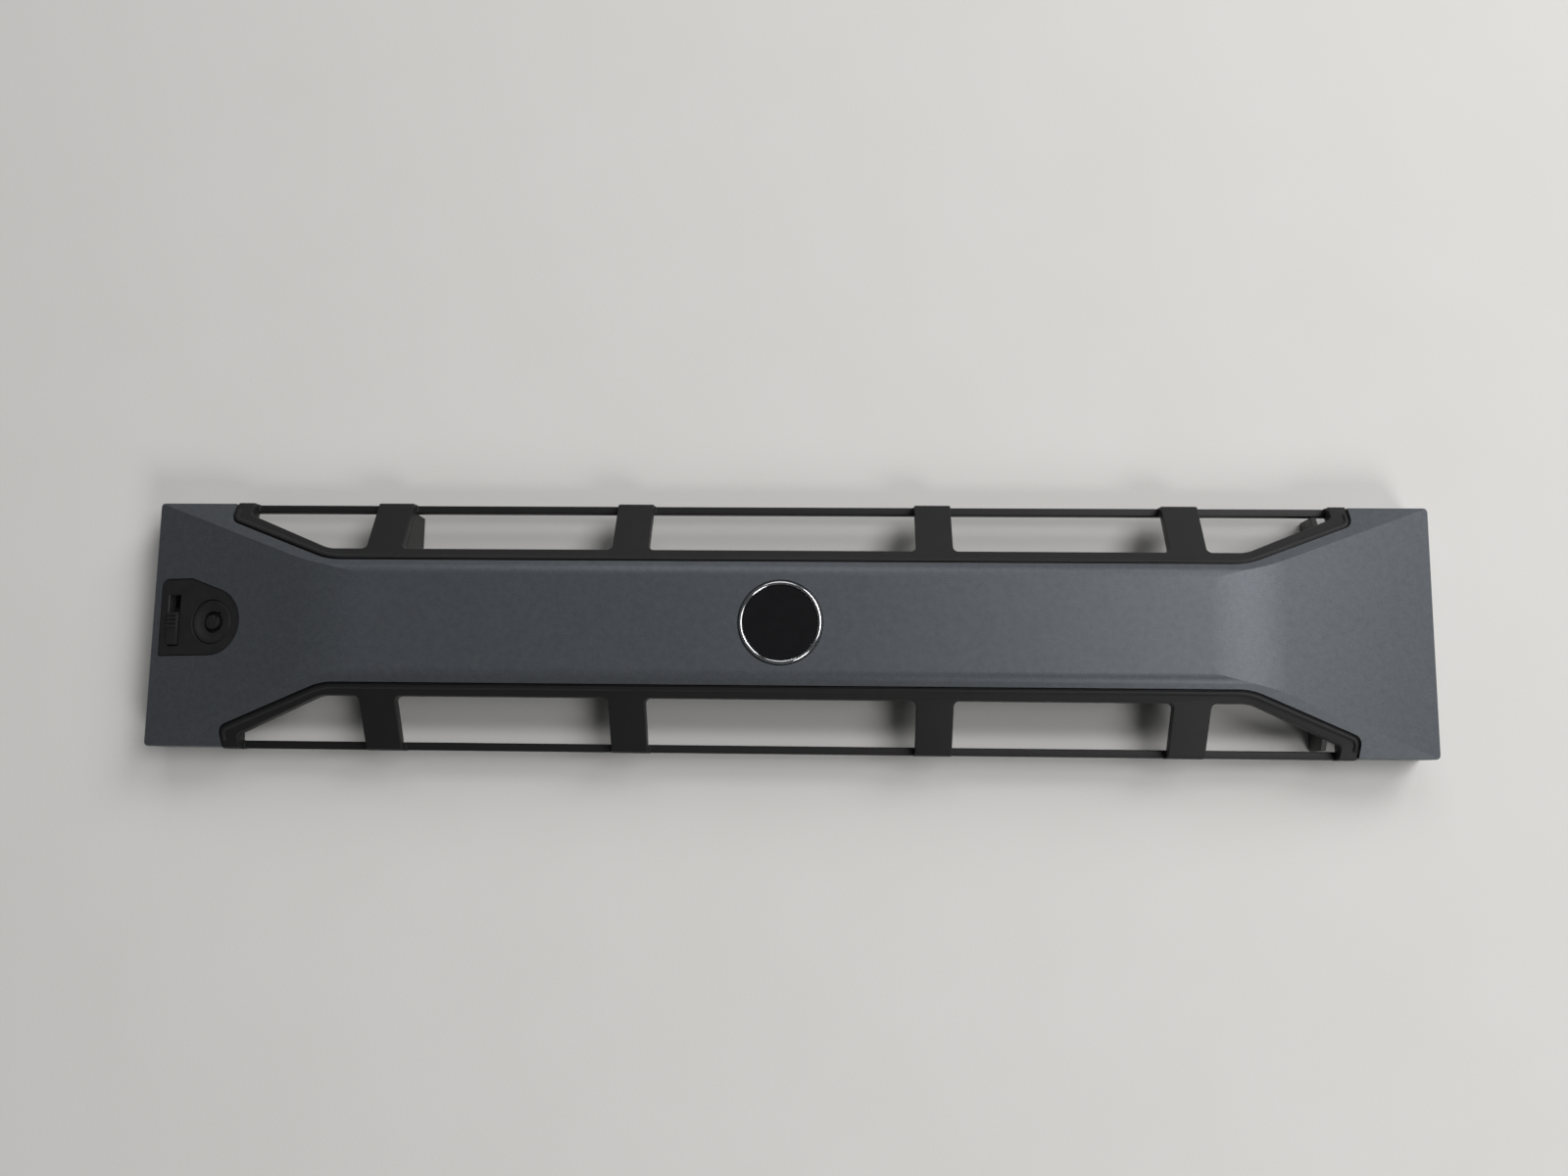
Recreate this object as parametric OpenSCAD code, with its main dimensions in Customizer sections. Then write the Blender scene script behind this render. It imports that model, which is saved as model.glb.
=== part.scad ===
// Front bezel for a two-unit rack server.
// X runs along the bezel, Y from its lower to its upper edge, and Z out of its face.
// The origin is the middle of the back plane, on which the rim of the end walls lies.

/* [Cover] */
// Width over both end walls
bezel_w = 446; // [430:1:470]
// Height over the end walls
bezel_h = 86.4; // [84:0.2:89]
// Height of the flat strip above the back plane
bezel_t = 31.5; // [30:0.5:34]
// Height of the upright end walls
rim_h = 15.5; // [15:0.5:17]
// Half length of the flat strip
flat_x = 156.5; // [150:0.5:160]
// Half width of the flat strip
flat_y = 17.8; // [17:0.1:18.5]
// Wall thickness
shell = 2.4; // [2:0.1:2.6]
// Radius of the soft bend where the ends turn down
end_bend_r = 110; // [60:5:120]
// Radius of the crease along the strip
side_crease_r = 7; // [5:0.5:9]
// Radius of the corners seen from the front
corner_r = 2; // [1.5:0.1:3]

/* [Grilles] */
// Distance from the centre line to the edge of a grille
grille_y = 21; // [20.5:0.1:21.5]
// Half length of the straight part of that edge
grille_bend_x = 156.5; // [152:0.5:158]
// Rise of its slanting ends per millimetre
grille_slant = 0.39; // [0.36:0.01:0.42]
// Half length of a grille
grille_x = 195.5; // [194:0.5:197]
// Distance from the centre line to the outer ends of the bars
bar_end_y = 43.8; // [43.4:0.1:44.2]
// Inner edges of the bars, from the middle outward
bar_x = [46, 131.8]; // [40:0.1:140]
// Width of a bar
bar_w = 12.6; // [11:0.1:14]
// Distance from the centre line to the openings
opening_y = 25.5; // [25:0.1:26]
// Half length over the tips of the outermost openings
tip_x = 189.3; // [188:0.1:190]
// Thickness of the bars and the frame
grille_t = 3.1; // [2.8:0.1:3.4]
// How far the grille's band and bars lie below the painted face
grille_recess = 0.8; // [0.6:0.05:1]
// Distance from the cover to the bead that runs along it
bead_gap = 0.7; // [0.5:0.05:0.9]
// Width of that bead
bead_w = 1.3; // [1:0.1:1.6]
// Height of the bead over the band
bead_h = 0.5; // [0.3:0.1:0.6]
// Width of the outer rails
rail_w = 2.8; // [2.4:0.1:3.2]
// Underside of the outer rails above the back plane
rail_z = 7.5; // [6:0.5:8]

/* [Emblem] */
// Outer radius of the bright ring
ring_r = 14.1; // [13.5:0.1:15]
// Radius of the disc inside it
disc_r = 12.7; // [12:0.1:13]

/* [Lock and latch] */
// Distance of the lock from the middle of the bezel
lock_x = 199.7; // [199:0.1:201]
// Radius of the rounded side of the lock escutcheon
escutcheon_r = 11.6; // [11:0.1:12]
// Radius of the flange on the lock barrel
flange_r = 7.7; // [7.4:0.1:8]
// Radius of the lock barrel
barrel_r = 6; // [5.5:0.1:6]
// Travel of the release slide
slide_travel = 6; // [5:0.5:6]
// Width of the slot for the release slide
slot_w = 4.7; // [4.4:0.1:5]
// Thickness of the steel plates
plate_t = 1.4; // [1.2:0.1:1.4]

/* [Hidden] */
$fn = 64;

// A small overlap that lets a cut run clear of the faces it passes
eps = 1;
// Fall of the end faces and of the side faces per millimetre
end_fall = (bezel_t - rim_h) / (bezel_w / 2 - flat_x);
side_fall = (bezel_t - rim_h) / (bezel_h / 2 - flat_y);
end_angle = atan(end_fall);
side_angle = atan(side_fall);
// Play between pieces that are clamped together
gap = 0.2;
// Depth of the cover's mating surfaces, down from the outer face
flange_top = shell + 0.4;
flange_bottom = flange_top + 1.6;
flange_reach = 3;
rail_top = rail_z + 3;
wall_foot = 0.4;
paint_color = [0.27, 0.30, 0.35];
black_color = [0.06, 0.06, 0.065];
steel_color = [0.62, 0.63, 0.65];

// Depths under the sloping left end, along its own normal
escutcheon_top = 0.4;
escutcheon_back = 4.2;
barrel_face = 0.7;
barrel_back = 11.5;
cam_top = 11.7;
plate_top = 11.8;
plate_back = plate_top + plate_t;
guide_top = 10.2;
guide_back = 11.6;
slot_u = -15.4;
slot_play = 0.3;
pad_v0 = -7.8;
pad_v1 = 3.5;
slot_v0 = pad_v0 - slot_play;
slot_v1 = pad_v1 + slide_travel + slot_play;
plate_u0 = -20.8;
plate_u1 = -10.8;
cam_reach = 12.6;
cam_half = 3;

// Places of the fixings
frame_screw_x = [-150, -90, -34, 34, 90, 150];
guide_screw_v = [-27, 27];
guide_screw_u = -5;
bracket_screw_v = [-22, 0, 22];
bracket_screw_u = -15.4;
screw_r = 1.4;
pilot_r = 1.45;
clear_r = 1.7;

function unit(v) = v / norm(v);
function xy(p) = [p[0], p[1]];

// The arc that rounds corner c, between its neighbours a and b, with radius r
function corner_arc(a, c, b, r, steps) =
    r <= 0 ? [c] :
    let (
        u = unit(a - c),
        v = unit(b - c),
        half = acos(u * v) / 2,
        centre = c + unit(u + v) * r / sin(half),
        first = u * r / tan(half) + c - centre,
        last = v * r / tan(half) + c - centre
    )
    [for (i = [0:steps]) centre + r * unit(first * (steps - i) + last * i)];

// A polygon from corners [x, y, radius]
function rounded(corners, steps = 6) =
    let (n = len(corners))
    [for (i = [0:n - 1])
        each corner_arc(xy(corners[(i + n - 1) % n]), xy(corners[i]), xy(corners[(i + 1) % n]), corners[i][2], steps)];

// A roof-shaped section: half width, half flat, fall of the slopes, inset from the outer face, foot, crease radius
function roof_section(half, flat, fall, inset, foot, crease) =
    let (
        top = bezel_t - inset,
        ridge = flat - inset * tan(atan(fall) / 2),
        edge = half - inset,
        eave = top - (edge - ridge) * fall,
        eave_r = max(1.2 - inset, 0)
    )
    rounded([
        [-edge, foot, 0], [-edge, eave, eave_r], [-ridge, top, crease - inset],
        [ridge, top, crease - inset], [edge, eave, eave_r], [edge, foot, 0]
    ]);

// Height of the side slope at distance y from the centre line, less a depth along its normal
function slope_z(y, depth) = bezel_t - (y - flat_y) * side_fall - depth / cos(side_angle);

// Outline of a grille, grown by g, up to the height top
function grille_outline(g, top) =
    let (
        lift = sqrt(1 + grille_slant * grille_slant),
        bend = grille_bend_x + g * (lift - 1) / grille_slant,
        end_x = grille_x + g,
        end_y = grille_y + grille_slant * (end_x - grille_bend_x) - g * lift
    )
    rounded([
        [-end_x, top, 0], [-end_x, end_y, 4 + g], [-bend, grille_y - g, 25 + g],
        [bend, grille_y - g, 25 + g], [end_x, end_y, 4 + g], [end_x, top, 0]
    ]);

// Extrudes a section of the XZ plane along Y, and one of the YZ plane along X
module along_y(length) {
    rotate([90, 0, 0]) linear_extrude(length, center = true) children();
}
module along_x(length) {
    rotate([90, 0, 90]) linear_extrude(length, center = true) children();
}

// The hipped outer form of the bezel, inset by a wall thickness
module hipped_block(inset, foot) {
    half_w = bezel_w / 2 - inset;
    half_h = bezel_h / 2 - inset;
    r = corner_r - inset / 2;
    intersection() {
        along_y(bezel_h) polygon(roof_section(bezel_w / 2, flat_x, end_fall, inset, foot, end_bend_r));
        along_x(bezel_w) polygon(roof_section(bezel_h / 2, flat_y, side_fall, inset, foot, side_crease_r));
        translate([0, 0, foot]) linear_extrude(bezel_t + eps)
            polygon(rounded([
                [-half_w, -half_h, r], [half_w, -half_h, r], [half_w, half_h, r], [-half_w, half_h, r]
            ]));
    }
}

// Puts children in the frame of the left end face: X up the slope, Y across, Z outward, origin at the lock
module on_left_end() {
    translate([-lock_x, 0, bezel_t - (lock_x - flat_x) * end_fall]) rotate([0, -end_angle, 0]) children();
}
module on_right_end() {
    mirror([1, 0, 0]) on_left_end() children();
}
// A slice of the left end frame between two depths
module slice(top, back) {
    translate([0, 0, -back]) linear_extrude(back - top) children();
}
// A round bar between two depths of that frame
module peg(r, top, back) {
    translate([0, 0, -back]) cylinder(r = r, h = back - top);
}

// Outline of the lock escutcheon, grown by g: a round nose with a taller square heel
module escutcheon_outline(g) {
    heel_u = -21.2 - g;
    shoulder = [-8.5 + g * tan(10), 15.4 + g];
    r = escutcheon_r + g;
    touch = atan2(shoulder[1], shoulder[0]) - acos(r / norm(shoulder));
    nose = r * [cos(touch), sin(touch)];
    circle(r = r);
    polygon(rounded([
        [heel_u, -r, 1 + g], [0, -r, 0], [nose[0], nose[1], 0],
        [shoulder[0], shoulder[1], 5 + g], [heel_u, shoulder[1], 2.8 + g]
    ]));
}

// Pan-head screw standing on its head: head below z = 0, shank above
module screw(length, r = screw_r) {
    difference() {
        union() {
            cylinder(r = r, h = length);
            translate([0, 0, -1.6]) cylinder(r = r * 1.9, h = 1.6);
        }
        translate([0, 0, -1.6]) for (turn = [0, 90]) rotate(turn) cube([r * 2.2, 0.6, 1.6], center = true);
    }
}

// ---- Cover and grilles ----

// One-piece painted moulding: hollow, open at the back, with both grille cut-outs and the lock cut-out
module front_cover() {
    boss_z = 24.6;
    color(paint_color) {
        difference() {
            hipped_block(0, 0);
            hipped_block(shell, -eps);
            for (side = [0, 1]) mirror([0, side, 0])
                translate([0, 0, -eps]) linear_extrude(bezel_t + 3 * eps) polygon(grille_outline(0, bezel_h));
            translate([0, 0, bezel_t - 1.2]) cylinder(r = ring_r + 0.4, h = 2);
            on_left_end() slice(-2, shell + 2) escutcheon_outline(0.15);
        }
        for (x = frame_screw_x) translate([x, 0, boss_z]) boss(bezel_t - shell / 2 - boss_z - 0.4);
        on_left_end() for (v = guide_screw_v) translate([guide_screw_u, v, -guide_top]) boss(guide_top - shell / 2);
        on_right_end() for (v = bracket_screw_v) translate([bracket_screw_u, v, -plate_top])
            boss(plate_top - shell / 2);
    }
}
// Screw boss with a blind pilot hole in its free end
module boss(height) {
    difference() {
        cylinder(r = 3.2, h = height);
        translate([0, 0, -eps]) cylinder(r = pilot_r, h = height - 1.4 + eps);
    }
}

// The five openings of a grille, running out past its edge
module grille_openings() {
    inner_end = bar_x[1] + bar_w;
    knee_x = 157.5;
    tip_y = opening_y + 0.42 * (tip_x - knee_x);
    far = bar_end_y + 2;
    for (hole = [[-bar_x[0], bar_x[0]], [bar_x[0] + bar_w, bar_x[1]], [-bar_x[1], -bar_x[0] - bar_w]])
        polygon(rounded([
            [hole[0], far, 0], [hole[0], opening_y, 1.8], [hole[1], opening_y, 1.8], [hole[1], far, 0]
        ]));
    for (side = [0, 1]) mirror([side, 0])
        polygon(rounded([
            [inner_end, far, 0], [inner_end, opening_y, 1.8], [knee_x, opening_y, 12],
            [tip_x, tip_y, 2], [tip_x, far, 0]
        ]));
}

// A grille: bars and frame that follow the slope, a flange under the cover, an outer rail and end webs
module grille() {
    inner = bar_end_y - 3;
    web_y = 37;
    skin = [
        [flat_y, slope_z(flat_y, grille_recess), 0], [bar_end_y, slope_z(bar_end_y, grille_recess), 1.6],
        [bar_end_y, rail_z, 0], [inner, rail_z, 0], [inner, slope_z(inner, grille_t + grille_recess), 0],
        [flat_y, slope_z(flat_y, grille_t + grille_recess), 0]
    ];
    difference() {
        union() {
            intersection() {
                along_x(bezel_w) polygon(rounded(skin));
                linear_extrude(bezel_t) polygon(grille_outline(-gap, bar_end_y + eps));
            }
            intersection() {
                along_x(bezel_w) polygon([
                    [flat_y, slope_z(flat_y, grille_recess - bead_h)], [inner, slope_z(inner, grille_recess - bead_h)],
                    [inner, slope_z(inner, grille_recess + 1)], [flat_y, slope_z(flat_y, grille_recess + 1)]
                ]);
                linear_extrude(bezel_t) difference() {
                    polygon(grille_outline(-bead_gap, bar_end_y));
                    polygon(grille_outline(-bead_gap - bead_w, bar_end_y + eps));
                }
            }
            intersection() {
                along_x(bezel_w) polygon([
                    [flat_y, slope_z(flat_y, flange_top)], [inner, slope_z(inner, flange_top)],
                    [inner, slope_z(inner, flange_bottom)], [flat_y, slope_z(flat_y, flange_bottom)]
                ]);
                linear_extrude(bezel_t) polygon(grille_outline(flange_reach, bezel_h / 2 - shell - gap));
            }
        }
        translate([0, 0, -eps]) linear_extrude(bezel_t + 2 * eps) grille_openings();
    }
    translate([-tip_x - 2, bar_end_y - gap - rail_w, rail_z]) cube([2 * tip_x + 4, rail_w, rail_top - rail_z]);
    for (side = [0, 1]) mirror([side, 0, 0])
        translate([tip_x + 1.9, 0, 0]) along_x(1.8) polygon([
            [web_y, rail_z], [inner + eps, rail_z], [inner + eps, slope_z(inner + eps, grille_t)],
            [web_y, slope_z(web_y, grille_t)]
        ]);
}
module upper_grille() {
    color(black_color) grille();
}
module lower_grille() {
    color(black_color) mirror([0, 1, 0]) grille();
}

// Deep wall bonded to the underside of the first bar
module partition() {
    foot_y = bar_end_y - 3;
    color(black_color) translate([-bar_x[1] - 0.9, 0, 0]) along_x(1.8) polygon([
        [opening_y, wall_foot], [foot_y, wall_foot], [foot_y, slope_z(foot_y, flange_bottom)],
        [opening_y, slope_z(opening_y, flange_bottom)]
    ]);
}

// Backing frame: a ribbed channel behind the strip that clamps the grilles, with the right end wall
module backing_frame() {
    web_z = 22.6;
    web_t = 2;
    half = 20;
    left = -170;
    right = 168;
    rib_z = 13;
    wall_x = 185;
    step_z = 19;
    color(black_color) difference() {
        union() {
            translate([left, -half, web_z]) cube([right - left, 2 * half, web_t]);
            translate([right - web_t, -half, step_z]) cube([wall_x - right + web_t, 2 * half, web_t]);
            translate([right - web_t, -half, step_z]) cube([web_t, 2 * half, web_z - step_z + web_t]);
            for (y = [-half, half - 2]) {
                translate([left, y, rib_z]) cube([right - left, 2, web_z - rib_z + web_t]);
                translate([right - eps, y, rib_z]) cube([wall_x - right + eps, 2, step_z - rib_z + web_t]);
            }
            for (x = [left:30:right]) translate([x, -half, rib_z + 3]) cube([1.6, 2 * half, web_z - rib_z - 3]);
            translate([wall_x, 0, 0]) along_x(2) polygon([
                [-38.5, wall_foot], [38.5, wall_foot], [38.5, 12.8], [28.5, 19], [24, 21.4],
                [-24, 21.4], [-28.5, 19], [-38.5, 12.8]
            ]);
        }
        for (x = frame_screw_x) translate([x, 0, web_z - eps]) cylinder(r = clear_r, h = 4);
    }
}
module frame_screws() {
    color(steel_color) for (x = frame_screw_x) translate([x, 0, 22.6]) screw(5);
}

// ---- Emblem ----

module emblem_ring() {
    color([0.85, 0.86, 0.88]) translate([0, 0, bezel_t - 1.2]) rotate_extrude() polygon(rounded([
        [disc_r + 0.05, 0, 0], [ring_r, 0, 0], [ring_r, 1.8, 0.6], [disc_r + 0.05, 1.8, 0.5]
    ], 4));
}
module emblem_disc() {
    color([0.02, 0.02, 0.022]) translate([0, 0, bezel_t - 0.9]) cylinder(r1 = disc_r, r2 = disc_r - 0.2, h = 1.1);
}
module emblem_pad() {
    color([0.12, 0.12, 0.12]) translate([0, 0, bezel_t - 1.2]) cylinder(r = disc_r - 0.5, h = 0.3);
}

// ---- Lock ----

// D-shaped face piece with a flange behind the cover, the lock well and the slide's slot
module lock_escutcheon() {
    color(black_color) on_left_end() difference() {
        union() {
            slice(escutcheon_top, shell + gap) escutcheon_outline(0);
            slice(shell + gap, escutcheon_back) intersection() {
                escutcheon_outline(2);
                translate([-21.6, -20]) square([40, 40]);
            }
            peg(8.8, escutcheon_back - eps, 9);
        }
        slice(-eps, escutcheon_back + eps)
            translate([slot_u - slot_w / 2, slot_v0]) square([slot_w, slot_v1 - slot_v0]);
        peg(flange_r + 0.1, 0, 2);
        peg(barrel_r + 0.05, 0, 10);
    }
}
// Lock barrel: flange, body, key hole with its notch, and the chamber for the plug
module lock_barrel() {
    color([0.1, 0.1, 0.1]) on_left_end() difference() {
        rotate_extrude() polygon([
            [3.8, -1.5], [4.6, -1.4], [6.7, -barrel_face], [flange_r - 0.3, -barrel_face], [flange_r, -barrel_face - 0.3],
            [flange_r, -2], [barrel_r, -2], [barrel_r, -barrel_back], [4.8, -barrel_back], [4.8, -3.4], [3.8, -3.4]
        ]);
        rotate(52) slice(0, 3.4) translate([3, -0.6]) square([1.5, 1.2]);
    }
}
module lock_nut() {
    color(steel_color) on_left_end() difference() {
        translate([0, 0, -11.2]) cylinder(r = 8.6, h = 2.2, $fn = 6);
        peg(barrel_r + 0.05, 8, 12);
    }
}
// Plug: body, centre post for the key and a square tang for the cam
module lock_plug() {
    color([0.2, 0.2, 0.2]) on_left_end() difference() {
        union() {
            peg(4.75, 3.5, barrel_back);
            peg(2.5, 1.1, 4);
            slice(barrel_back, cam_top + 1.4) square(5, center = true);
        }
        rotate(52) slice(1, 2.6) translate([1.7, -0.5]) square([1, 1]);
        peg(1.25, 8, 14);
    }
}
// Cam: a lever that stands up along the bezel when the lock is open
module lock_cam() {
    color(steel_color) on_left_end() slice(cam_top, cam_top + 1.5) difference() {
        union() {
            circle(r = 4.6);
            translate([-cam_half, 0]) square([2 * cam_half, cam_reach - 1]);
            translate([-cam_half + 1, 0]) square([2 * cam_half - 2, cam_reach]);
        }
        square(5.1, center = true);
    }
}
module cam_screw() {
    color(steel_color) on_left_end() translate([0, 0, -cam_top - 1.5]) screw(4.6, 1.2);
}

// ---- Latch ----

// Thumb piece: ribbed pad in the slot, a flange that keeps it in, and a stem down to the latch plate
module release_slide() {
    pad_w = slot_w - 2 * slot_play;
    color(black_color) on_left_end() translate([slot_u, 0, 0]) difference() {
        union() {
            slice(-0.3, 4.5) translate([-pad_w / 2, pad_v0]) square([pad_w, pad_v1 - pad_v0]);
            for (i = [0:3]) translate([0, 2.9 - 1.4 * i, 0.3]) rotate([0, 90, 0])
                cylinder(r = 0.45, h = pad_w, center = true, $fn = 24);
            slice(4.4, 6) translate([-4, -10]) square([8, 15.5]);
            slice(6, plate_top) translate([-1.9, -4.5]) square([3.8, 5.5]);
            slice(6, 9.6) translate([-2.6, 4]) square([5.2, 1.5]);
        }
        translate([0, -1.8, 0]) peg(1.05, 7.5, 12);
    }
}
// Latch plate: steel strip with a relief for the cam and a downturned hook at each end
module latch_plate() {
    color(steel_color) on_left_end() {
        difference() {
            slice(plate_top, plate_back) translate([plate_u0, -33]) square([plate_u1 - plate_u0, 66]);
            slice(plate_top - eps, plate_back + eps) translate([-13, -9.9]) square([4, 18.5]);
            translate([slot_u, -1.8, 0]) peg(1.15, 11, 14);
        }
        for (v = [-33, 31.5]) {
            slice(plate_back, 15.9) translate([-20.5, v]) square([6, 1.5]);
            slice(14.6, 15.9) translate([-20.5, v - 3.2]) square([6, 3.3]);
        }
    }
}
module slide_screw() {
    color(steel_color) on_left_end() translate([slot_u, -1.8, -plate_back]) screw(4.8, 1);
}
// Return spring between the thumb piece and the guide
module latch_spring() {
    turns = 7;
    sides = 8;
    steps = 16;
    wire_r = 0.25;
    coil_r = 1.7;
    first_v = 5.8;
    last_v = 21.7;
    rings = turns * steps;
    points = [for (i = [0:rings]) for (k = [0:sides - 1])
        let (
            turn = 360 * i / steps,
            around = 360 * k / sides,
            r = coil_r + wire_r * cos(around),
            v = first_v + (last_v - first_v) * i / rings + wire_r * sin(around)
        )
        [r * cos(turn), v, r * sin(turn)]];
    walls = [for (i = [0:rings - 1]) for (k = [0:sides - 1])
        let (a = i * sides, b = a + sides, n = (k + 1) % sides)
        [a + k, a + n, b + n, b + k]];
    ends = [[for (k = [sides - 1:-1:0]) k], [for (k = [0:sides - 1]) rings * sides + k]];
    color(steel_color) on_left_end() translate([slot_u, 0, -7.7]) polyhedron(points, concat(walls, ends));
}
// Guide: plate over the latch plate, with claws round its edges, a spring seat and two screw ears
module latch_guide() {
    claw_v = [-24, 19];
    color(black_color) on_left_end() {
        difference() {
            slice(guide_top, guide_back) {
                for (end = [-30, 14]) translate([plate_u0 - 0.2, end]) square([20, 16]);
                translate([plate_u0 - 0.2, -30]) square([2.4, 60]);
            }
            for (v = guide_screw_v) translate([guide_screw_u, v, 0]) peg(clear_r, 9, 13);
        }
        for (v = claw_v) {
            slice(guide_back - 0.2, plate_back + 1.2) {
                translate([plate_u0 - 1.2, v]) square([1, 5]);
                translate([plate_u1 + 0.2, v]) square([1, 5]);
            }
            slice(plate_back + 0.2, plate_back + 1.2) {
                translate([plate_u0 - 1.2, v]) square([2.2, 5]);
                translate([plate_u1 - 1, v]) square([2.2, 5]);
            }
            slice(guide_top, guide_back) translate([plate_u0 - 1.2, v]) square([2, 5]);
        }
        slice(5.2, guide_top + 0.2) translate([slot_u - 3, 22]) square([6, 1.6]);
    }
}
module guide_screws() {
    color(steel_color) on_left_end() for (v = guide_screw_v) translate([guide_screw_u, v, -guide_back]) screw(5.5);
}

// ---- Right end ----

// Fixed steel bracket whose two hooks catch the right side of the rack
module hook_bracket() {
    color(steel_color) on_right_end() {
        difference() {
            slice(plate_top, plate_back) translate([plate_u0, -33]) square([plate_u1 - plate_u0, 66]);
            for (v = bracket_screw_v) translate([bracket_screw_u, v, 0]) peg(clear_r, 10, 15);
        }
        for (v = [-33, 31.5]) {
            slice(plate_back, 15.9) translate([-20.5, v]) square([6, 1.5]);
            slice(14.6, 15.9) translate([-20.5, v - 3.2]) square([6, 3.3]);
        }
    }
}
module bracket_screws() {
    color(steel_color) on_right_end() for (v = bracket_screw_v)
        translate([bracket_screw_u, v, -plate_back]) screw(6);
}

front_cover();
upper_grille();
lower_grille();
partition();
backing_frame();
frame_screws();
emblem_ring();
emblem_disc();
emblem_pad();
lock_escutcheon();
lock_barrel();
lock_nut();
lock_plug();
lock_cam();
cam_screw();
release_slide();
latch_plate();
slide_screw();
latch_spring();
latch_guide();
guide_screws();
hook_bracket();
bracket_screws();
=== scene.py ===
import math

import bmesh
import bpy
from mathutils import Matrix, Vector


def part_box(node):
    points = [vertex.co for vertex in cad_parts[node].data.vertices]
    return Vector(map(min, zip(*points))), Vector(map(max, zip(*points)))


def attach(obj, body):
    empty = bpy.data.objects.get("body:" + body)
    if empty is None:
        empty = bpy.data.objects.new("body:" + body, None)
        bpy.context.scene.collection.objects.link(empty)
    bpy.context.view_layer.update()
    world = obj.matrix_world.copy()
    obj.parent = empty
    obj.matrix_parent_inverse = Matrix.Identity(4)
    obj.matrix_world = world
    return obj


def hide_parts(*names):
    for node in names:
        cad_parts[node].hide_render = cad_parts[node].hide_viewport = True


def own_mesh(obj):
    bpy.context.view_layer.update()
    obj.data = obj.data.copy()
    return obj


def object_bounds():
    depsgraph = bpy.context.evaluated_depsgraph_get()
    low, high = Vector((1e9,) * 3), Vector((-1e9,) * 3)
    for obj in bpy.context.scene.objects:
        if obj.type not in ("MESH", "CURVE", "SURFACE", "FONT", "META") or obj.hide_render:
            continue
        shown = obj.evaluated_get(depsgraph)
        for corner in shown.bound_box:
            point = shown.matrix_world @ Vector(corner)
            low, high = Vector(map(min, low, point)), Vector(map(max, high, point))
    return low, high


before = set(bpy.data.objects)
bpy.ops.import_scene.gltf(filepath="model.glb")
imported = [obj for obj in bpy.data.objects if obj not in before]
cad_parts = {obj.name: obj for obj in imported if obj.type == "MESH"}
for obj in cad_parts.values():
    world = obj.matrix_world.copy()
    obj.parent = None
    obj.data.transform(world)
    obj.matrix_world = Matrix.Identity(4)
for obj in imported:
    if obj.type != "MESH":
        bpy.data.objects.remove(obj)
cad_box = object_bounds()


# ---- Table ----
# A plain off-white table top, painted and faintly uneven.
# It only carries the bezel and its shadow.

class Wire:
    """An output socket in a material. Arithmetic on it adds Math nodes."""

    def __init__(self, tree, socket=None):
        self.tree = tree
        self.socket = socket

    def node(self, kind, inputs, out=0, **settings):
        new = self.tree.nodes.new("ShaderNode" + kind)
        for name, value in settings.items():
            if name == "stops":
                for stop, (place, shade) in zip(new.color_ramp.elements, value):
                    stop.position = place
                    stop.color = (shade, shade, shade, 1)
            else:
                setattr(new, name, value)
        for name, value in inputs.items():
            if isinstance(value, Wire):
                self.tree.links.new(value.socket, new.inputs[name])
            else:
                new.inputs[name].default_value = value
        return Wire(self.tree, new.outputs[out])

    def _math(self, operation, first, second):
        return self.node("Math", {0: first, 1: second}, operation=operation)

    def __add__(self, other):
        return self._math("ADD", self, other)

    def __mul__(self, other):
        return self._math("MULTIPLY", self, other)

    __radd__ = __add__
    __rmul__ = __mul__


def new_finish(name):
    """A material with only a Principled shader, as (material, a bare Wire on its nodes, the shader)."""
    material = bpy.data.materials.new(name)
    material.use_nodes = True
    tree = material.node_tree
    return material, Wire(tree), tree.nodes["Principled BSDF"]


def feed(shader, **values):
    """Sets or links the shader's inputs, named with underscores for spaces."""
    for name, value in values.items():
        socket = shader.inputs[name.replace("_", " ")]
        if isinstance(value, Wire):
            value.tree.links.new(value.socket, socket)
        else:
            socket.default_value = value


def between(wire, amount, low, high):
    """A colour that runs from low to high with amount."""
    return wire.node("Mix", {0: amount, 6: (*low, 1), 7: (*high, 1)}, out=2, data_type="RGBA")


def grain(wire, size, detail=2.0, roughness=0.5, stretch=(1, 1, 1)):
    """Noise from 0 to 1 in the piece's own coordinates, with features about size metres across."""
    place = wire.node("TexCoord", {}, out=3)
    place = wire.node("Mapping", {"Vector": place, "Scale": stretch})
    settings = {"Vector": place, "Scale": 1 / size, "Detail": detail, "Roughness": roughness}
    return wire.node("TexNoise", settings)


def table_finish():
    material, wire, shader = new_finish("table_paint")
    mottle = grain(wire, 0.05, 4)
    fine = grain(wire, 0.0012, 2)
    feed(shader, Base_Color=between(wire, mottle, (0.80, 0.79, 0.765), (0.84, 0.83, 0.81)),
         Roughness=fine * 0.15 + 0.6,
         Normal=wire.node("Bump", {"Height": fine, "Strength": 0.15, "Distance": 0.0002}))
    shader.inputs["Specular IOR Level"].default_value = 0.25
    return material


def add_object(name, mesh):
    piece = bpy.data.objects.new(name, mesh)
    bpy.context.scene.collection.objects.link(piece)
    return piece


table_half = 3.0
bm = bmesh.new()
bmesh.ops.create_grid(bm, x_segments=1, y_segments=1, size=table_half)
table_mesh = bpy.data.meshes.new("table")
bm.to_mesh(table_mesh)
bm.free()
table = add_object("table", table_mesh)
table.data.materials.append(table_finish())


# ---- Light and camera ----
# Soft lamps overhead to the right and beyond the upper edge, and a weaker window low on the right.
# The camera looks almost straight down, from a little below the middle of the bezel.

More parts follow.
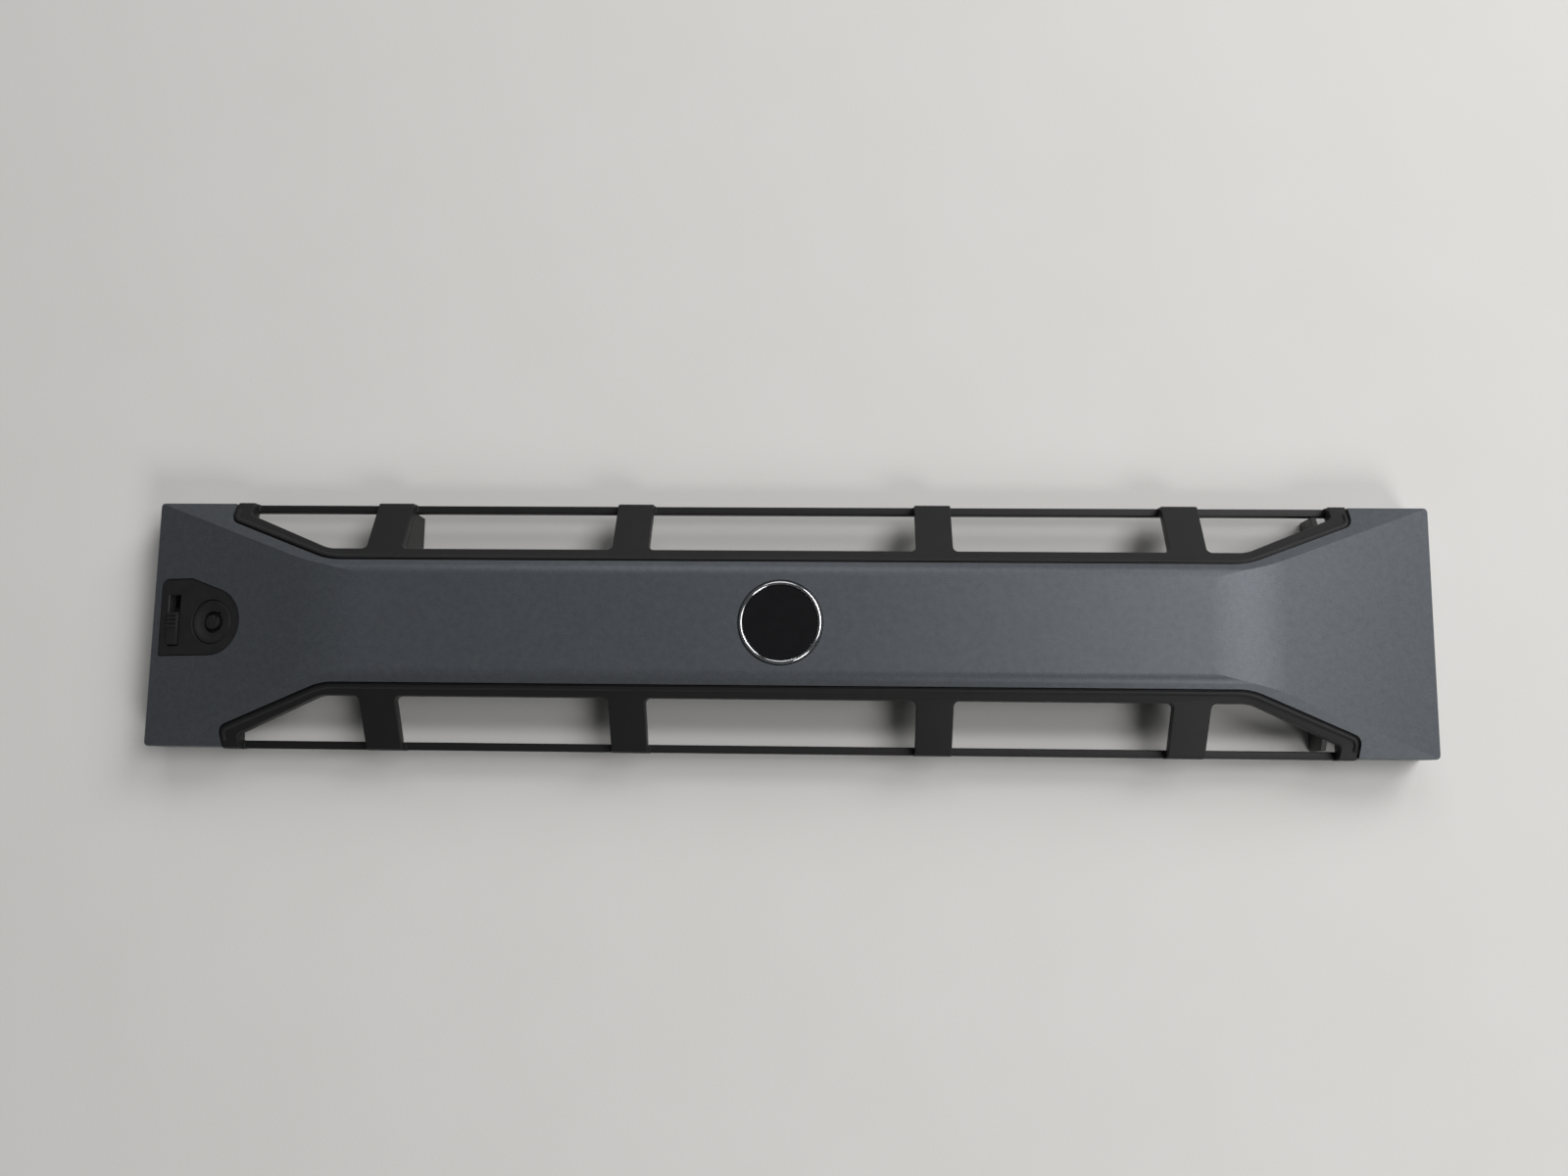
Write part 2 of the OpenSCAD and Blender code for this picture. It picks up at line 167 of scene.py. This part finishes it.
def soft_lamp(name, place, aim, size, power, color=(1, 1, 1)):
    lamp = bpy.data.lights.new(name, "AREA")
    lamp.shape = "DISK"
    lamp.size = size
    lamp.energy = power
    lamp.color = color
    holder = bpy.data.objects.new(name, lamp)
    bpy.context.scene.collection.objects.link(holder)
    holder.location = place
    holder.rotation_euler = (Vector(aim) - Vector(place)).to_track_quat("-Z", "Y").to_euler()
    return holder


middle = (0.05, 0, 0)
soft_lamp("ceiling_lamp", (1.1, 0.35, 1.9), middle, 1.2, 17)
soft_lamp("side_lamp", (1.3, 1.3, 1.2), middle, 1.2, 17)
soft_lamp("upper_lamp", (-0.1, 1.6, 1.3), middle, 1.2, 6)
soft_lamp("low_window", (0.9, -1.3, 1.2), middle, 0.8, 10)

# The room is dim, but a camera that looks past the table sees a pale wall.
room_light = 0.06
wall_shade = 0.85
world = bpy.data.worlds.new("room")
world.use_nodes = True
background = world.node_tree.nodes["Background"]
background.inputs["Color"].default_value = (0.98, 0.99, 1, 1)
seen = Wire(world.node_tree).node("LightPath", {}, out="Is Camera Ray")
feed(background, Strength=seen * (wall_shade - room_light) + room_light)
bpy.context.scene.world = world
bpy.context.scene.view_settings.view_transform = "Standard"

camera = bpy.data.objects.new("camera", bpy.data.cameras.new("camera"))
bpy.context.scene.collection.objects.link(camera)
camera.data.sensor_width = 36
camera.data.lens = 31.5
camera.location = (0.01874, -0.05259, 0.48927)
camera.rotation_euler = [math.radians(turn) for turn in (8.01, 2.11, 0.66)]
bpy.context.scene.camera = camera


# ---- Front cover ----
# One thin injection-moulded shell in slate-grey metallic paint. Its flat strip, sloping sides and ends
# meet in soft creases, and the edges of its cut-outs are slightly rounded by mould and paint.

def paint_finish():
    material, wire, shader = new_finish("slate_paint")
    flake = grain(wire, 0.00035, 2, 0.7)
    cloud = grain(wire, 0.0022, 3)
    tone = flake * 0.75 + cloud * 0.25
    spread = wire.node("ValToRGB", {0: tone}, stops=[(0.32, 0.0), (0.68, 1.0)])
    feed(shader, Base_Color=between(wire, spread, (0.076, 0.083, 0.094), (0.128, 0.139, 0.155)),
         Roughness=flake * 0.12 + 0.36,
         Metallic=0.45,
         Normal=wire.node("Bump", {"Height": flake, "Strength": 0.22, "Distance": 0.00003}))
    return material


def welded(node):
    """A bmesh of a node with its loose triangles joined."""
    bm = bmesh.new()
    bm.from_mesh(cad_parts[node].data)
    bmesh.ops.remove_doubles(bm, verts=bm.verts, dist=1e-6)
    return bm


hard_turn = math.radians(28)
sharp_turn = math.radians(40)


def softened(node, name, width, finish, body, bm=None):
    """The piece of a node with its hard edges rounded to a given width, kept within the whole bezel's box."""
    bm = bm or welded(node)
    hard = [e for e in bm.edges if e.is_manifold and e.calc_face_angle() > hard_turn]
    bmesh.ops.bevel(bm, geom=hard, offset=width, offset_type="OFFSET", segments=2, profile=0.5,
                    affect="EDGES", clamp_overlap=False, material=-1)
    for vert in bm.verts:
        vert.co = [min(max(place, low), high) for place, low, high in zip(vert.co, *cad_box)]
    return finished(bm, name, finish, body, node)


def finished(bm, name, finish, body, node):
    """Turns a bmesh into a smooth piece that rides on a body and stands for a node."""
    for face in bm.faces:
        face.smooth = True
    for edge in bm.edges:
        edge.smooth = not (edge.is_manifold and edge.calc_face_angle() > sharp_turn)
    mesh = bpy.data.meshes.new(name)
    bm.to_mesh(mesh)
    bm.free()
    mesh.materials.append(finish)
    piece = add_object(name, mesh)
    weight = piece.modifiers.new("even_shading", "WEIGHTED_NORMAL")
    weight.keep_sharp = True
    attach(piece, body)
    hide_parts(node)
    return piece


strip_half_length = 0.1565
strip_half_width = 0.0178
end_bend_r = 0.110
side_crease_r = 0.007
_, cover_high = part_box("front_cover")
cover_half_length, cover_half_height, cover_top = cover_high
rim_top = 0.0155
skin_slack = 0.0003


def roof(distance, flat, half, radius):
    """Drop and tilt of the face at a distance from the middle line, where a slope follows a flat."""
    slope = math.atan((cover_top - rim_top) / (half - flat))
    start = flat - radius * math.tan(slope / 2)
    turned = min(max((distance - start) / radius, 0), math.sin(slope))
    tilt = math.asin(turned)
    past = max(distance - start - radius * math.sin(slope), 0)
    return radius * (1 - math.cos(tilt)) + past * math.tan(slope), tilt


def face_direction(face_middle, point):
    """Direction of the painted face at a point, or None where a face isn't on the outer skin."""
    end_drop, _ = roof(abs(face_middle.x), strip_half_length, cover_half_length, end_bend_r)
    side_drop, _ = roof(abs(face_middle.y), strip_half_width, cover_half_height, side_crease_r)
    if abs(face_middle.z - cover_top + max(end_drop, side_drop)) > skin_slack:
        return None
    if end_drop > side_drop:
        _, tilt = roof(abs(point.x), strip_half_length, cover_half_length, end_bend_r)
        return Vector((math.copysign(math.sin(tilt), point.x), 0, math.cos(tilt)))
    _, tilt = roof(abs(point.y), strip_half_width, cover_half_height, side_crease_r)
    return Vector((0, math.copysign(math.sin(tilt), point.y), math.cos(tilt)))


slate = paint_finish()
cover = softened("front_cover", "cover_shell", 0.0003, slate, "bezel")

# The soft bends are shaded by their true curve.
cover.modifiers.clear()
directions = []
for face in cover.data.polygons:
    outer = face.normal.z > 0.5
    for corner in face.vertices:
        place = cover.data.vertices[corner].co
        directions.append((outer and face_direction(face.center, place)) or Vector((0, 0, 0)))
cover.data.normals_split_custom_set(directions)


# ---- Grilles ----
# Two black mouldings with a fine spark-eroded texture, clamped from behind. Each has a bead along the
# cover, sloping bars that wrap over the edge, and a thin outer rail.

def grille_finish():
    material, wire, shader = new_finish("textured_black")
    pit = grain(wire, 0.00028, 3, 0.6)
    cloud = grain(wire, 0.006, 2)
    feed(shader, Base_Color=between(wire, cloud, (0.009, 0.009, 0.0095), (0.013, 0.013, 0.0135)),
         Roughness=pit * 0.2 + 0.38,
         Normal=wire.node("Bump", {"Height": pit, "Strength": 0.5, "Distance": 0.00004}))
    shader.inputs["Specular IOR Level"].default_value = 0.36
    return material


grille_black = grille_finish()
softened("upper_grille", "upper_grille_moulding", 0.0004, grille_black, "bezel")
softened("lower_grille", "lower_grille_moulding", 0.0004, grille_black, "bezel")


# ---- Backing frame ----
# A ribbed channel in plain black plastic, screwed up behind the strip to clamp both grilles.

def frame_finish():
    material, wire, shader = new_finish("plain_black")
    sheen = grain(wire, 0.004, 3)
    feed(shader, Base_Color=between(wire, sheen, (0.014, 0.014, 0.015), (0.021, 0.021, 0.022)),
         Roughness=sheen * 0.2 + 0.35,
         Normal=wire.node("Bump", {"Height": grain(wire, 0.0004), "Strength": 0.15, "Distance": 0.00003}))
    return material


frame_black = frame_finish()
# Its right end wall runs out to the grilles' rails.
channel = welded("backing_frame")
wall_half = 0.0384
rail_half = 0.0405
rail_clear = 0.0116
for vert in channel.verts:
    if abs(vert.co.y) > wall_half:
        vert.co = (vert.co.x, math.copysign(rail_half, vert.co.y), min(vert.co.z, rail_clear))
softened("backing_frame", "backing_channel", 0.00025, frame_black, "bezel", channel)
softened("partition", "deep_partition", 0.0002, grille_black, "bezel")


# ---- Screws ----
# Small zinc-plated pan-head screws with cross recesses.

def steel_finish():
    material, wire, shader = new_finish("zinc_steel")
    spangle = grain(wire, 0.0015, 3)
    brush = grain(wire, 0.0003, 2, 0.5, (1, 12, 1))
    feed(shader, Base_Color=between(wire, spangle, (0.50, 0.51, 0.52), (0.66, 0.66, 0.65)),
         Metallic=1.0,
         Roughness=spangle * 0.15 + brush * 0.1 + 0.22,
         Normal=wire.node("Bump", {"Height": brush, "Strength": 0.12, "Distance": 0.00002}))
    return material


zinc = steel_finish()
for node, body in (("frame_screws", "bezel"), ("guide_screws", "bezel"), ("bracket_screws", "bezel"),
                   ("slide_screw", "latch"), ("cam_screw", "lock")):
    softened(node, node + "_heads", 0.00012, zinc, body)


# ---- Emblem ----
# A bare gloss-black disc in a polished chrome ring, stuck on a foam pad in a round recess.

def spun(profile, steps=96):
    """A bmesh of a closed profile of (radius, height) points, turned once around Z."""
    bm = bmesh.new()
    points = [bm.verts.new((r, 0, z)) for r, z in profile]
    edges = [bm.edges.new((a, b)) for a, b in zip(points, points[1:] + points[:1]) if a is not b]
    bmesh.ops.spin(bm, geom=points + edges, cent=(0, 0, 0), axis=(0, 0, 1), angle=math.tau, steps=steps,
                   use_merge=True)
    bmesh.ops.remove_doubles(bm, verts=bm.verts, dist=1e-7)
    bmesh.ops.recalc_face_normals(bm, faces=bm.faces)
    return bm


def chrome_finish():
    material, wire, shader = new_finish("polished_chrome")
    haze = grain(wire, 0.002, 3)
    feed(shader, Base_Color=between(wire, haze, (0.82, 0.83, 0.85), (0.90, 0.90, 0.91)), Metallic=1.0,
         Roughness=haze * 0.06 + 0.07)
    return material


def gloss_finish():
    material, wire, shader = new_finish("gloss_black")
    haze = grain(wire, 0.004, 3)
    feed(shader, Base_Color=between(wire, haze, (0.006, 0.006, 0.007), (0.010, 0.010, 0.011)),
         Roughness=haze * 0.05 + 0.1)
    shader.inputs["Coat Weight"].default_value = 0.6
    shader.inputs["Coat Roughness"].default_value = 0.03
    return material


def foam_finish():
    material, wire, shader = new_finish("foam_tape")
    cell = grain(wire, 0.0003, 3)
    feed(shader, Base_Color=between(wire, cell, (0.03, 0.03, 0.03), (0.07, 0.07, 0.07)), Roughness=0.9,
         Normal=wire.node("Bump", {"Height": cell, "Strength": 0.6, "Distance": 0.0001}))
    return material


ring_low, ring_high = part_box("emblem_ring")
disc_low, disc_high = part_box("emblem_disc")
ring_r, disc_r = ring_high.x, disc_high.x
ring_base, ring_top = ring_low.z, ring_high.z
ring_inner = disc_r + 0.00005
ring_profile = [
    (ring_inner, ring_base), (ring_inner, ring_top - 0.0005), (ring_inner + 0.0002, ring_top - 0.00015),
    (ring_inner + 0.0005, ring_top), (ring_r - 0.0005, ring_top - 0.00003),
    (ring_r - 0.0002, ring_top - 0.0002), (ring_r, ring_top - 0.0006), (ring_r, ring_base)
]
finished(spun(ring_profile), "emblem_chrome_ring", chrome_finish(), "bezel", "emblem_ring")
crown = 0.00012
disc_profile = [
    (0, disc_low.z), (disc_r, disc_low.z), (disc_r, disc_high.z - crown - 0.0002),
    (disc_r - 0.0002, disc_high.z - crown), (disc_r * 0.6, disc_high.z - crown * 0.3), (0, disc_high.z)
]
finished(spun(disc_profile), "emblem_gloss_disc", gloss_finish(), "bezel", "emblem_disc")
softened("emblem_pad", "emblem_foam_pad", 0.00004, foam_finish(), "bezel")


# ---- Lock ----
# A round cam lock in a D-shaped black face piece, held by a steel nut behind.

softened("lock_escutcheon", "lock_face_piece", 0.0003, frame_black, "bezel")
softened("lock_barrel", "lock_barrel_body", 0.00015, frame_black, "bezel")
softened("lock_nut", "lock_hex_nut", 0.0002, zinc, "bezel")
softened("lock_plug", "lock_plug_core", 0.00015, frame_black, "lock")
softened("lock_cam", "lock_cam_lever", 0.00015, zinc, "lock")


# ---- Latch ----
# A ribbed thumb piece that slides in its slot and carries a steel plate with two hooks.

softened("release_slide", "release_thumb_piece", 0.0002, frame_black, "latch")
softened("latch_plate", "latch_hook_plate", 0.00015, zinc, "latch")

# The spring is a bare coil between the thumb piece and a post of the guide.
spring_low, spring_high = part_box("latch_spring")
wire_r = 0.00025
coil_turns = 7
steps_per_turn = 24
coil_steps = coil_turns * steps_per_turn
coil_r = (spring_high.x - spring_low.x) / 2 - wire_r
coil_x = (spring_high.x + spring_low.x) / 2
coil_z = (spring_high.z + spring_low.z) / 2
coil_start = spring_low.y + wire_r
coil_length = spring_high.y - wire_r - coil_start
bm = bmesh.new()
wire_end = Matrix.Translation((coil_x + coil_r, coil_start, coil_z))
ring = bmesh.ops.create_circle(bm, segments=10, radius=wire_r, matrix=wire_end)["verts"]
bmesh.ops.spin(bm, geom=ring + bm.edges[:], cent=(coil_x, coil_start, coil_z), axis=(0, 1, 0),
               dvec=(0, coil_length / coil_steps, 0), angle=-math.tau * coil_turns, steps=coil_steps)
bmesh.ops.holes_fill(bm, edges=[e for e in bm.edges if e.is_boundary], sides=10)
bmesh.ops.recalc_face_normals(bm, faces=bm.faces)
spring = finished(bm, "return_spring", zinc, "bezel", "latch_spring")
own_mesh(spring)

softened("latch_guide", "latch_guide_rail", 0.0002, frame_black, "bezel")
softened("hook_bracket", "fixed_hook_bracket", 0.00015, zinc, "bezel")
